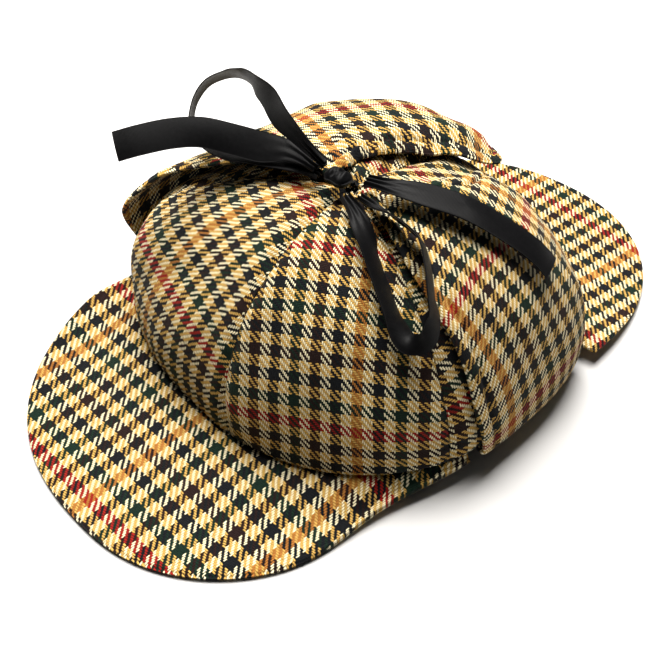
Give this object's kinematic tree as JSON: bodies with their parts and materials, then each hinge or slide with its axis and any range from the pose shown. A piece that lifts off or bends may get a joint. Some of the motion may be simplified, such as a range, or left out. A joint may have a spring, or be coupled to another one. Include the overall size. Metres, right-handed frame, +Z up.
{
  "type": "deerstalker hat",
  "caption": "Soft tweed hat with a domed panelled crown, a rounded peak front and back, and two ear flaps tied up over the top with a ribbon bow.",
  "frame": {"origin": "middle of the hat's outline seen from above, on the surface it lies on", "axes": "-Y towards the tip of the front peak, +X towards the wearer's left, +Z up"},
  "size_m": [0.211, 0.31, 0.1135],
  "materials": {
    "tweed": "checked wool tweed",
    "satin": "black satin ribbon"
  },
  "bodies": {
    "root": {"crown_panel_front_left": "tweed", "crown_panel_side_left": "tweed", "crown_panel_back_left": "tweed", "crown_panel_back_right": "tweed", "crown_panel_side_right": "tweed", "crown_panel_front_right": "tweed", "peak_front": "tweed", "peak_back": "tweed", "ear_flap_left": "tweed", "ear_flap_right": "tweed", "ribbon_tail_right": "satin", "ribbon_tail_left": "satin", "ribbon_loop_right": "satin", "ribbon_loop_left": "satin", "ribbon_knot": "satin"}
  },
  "joints": []
}
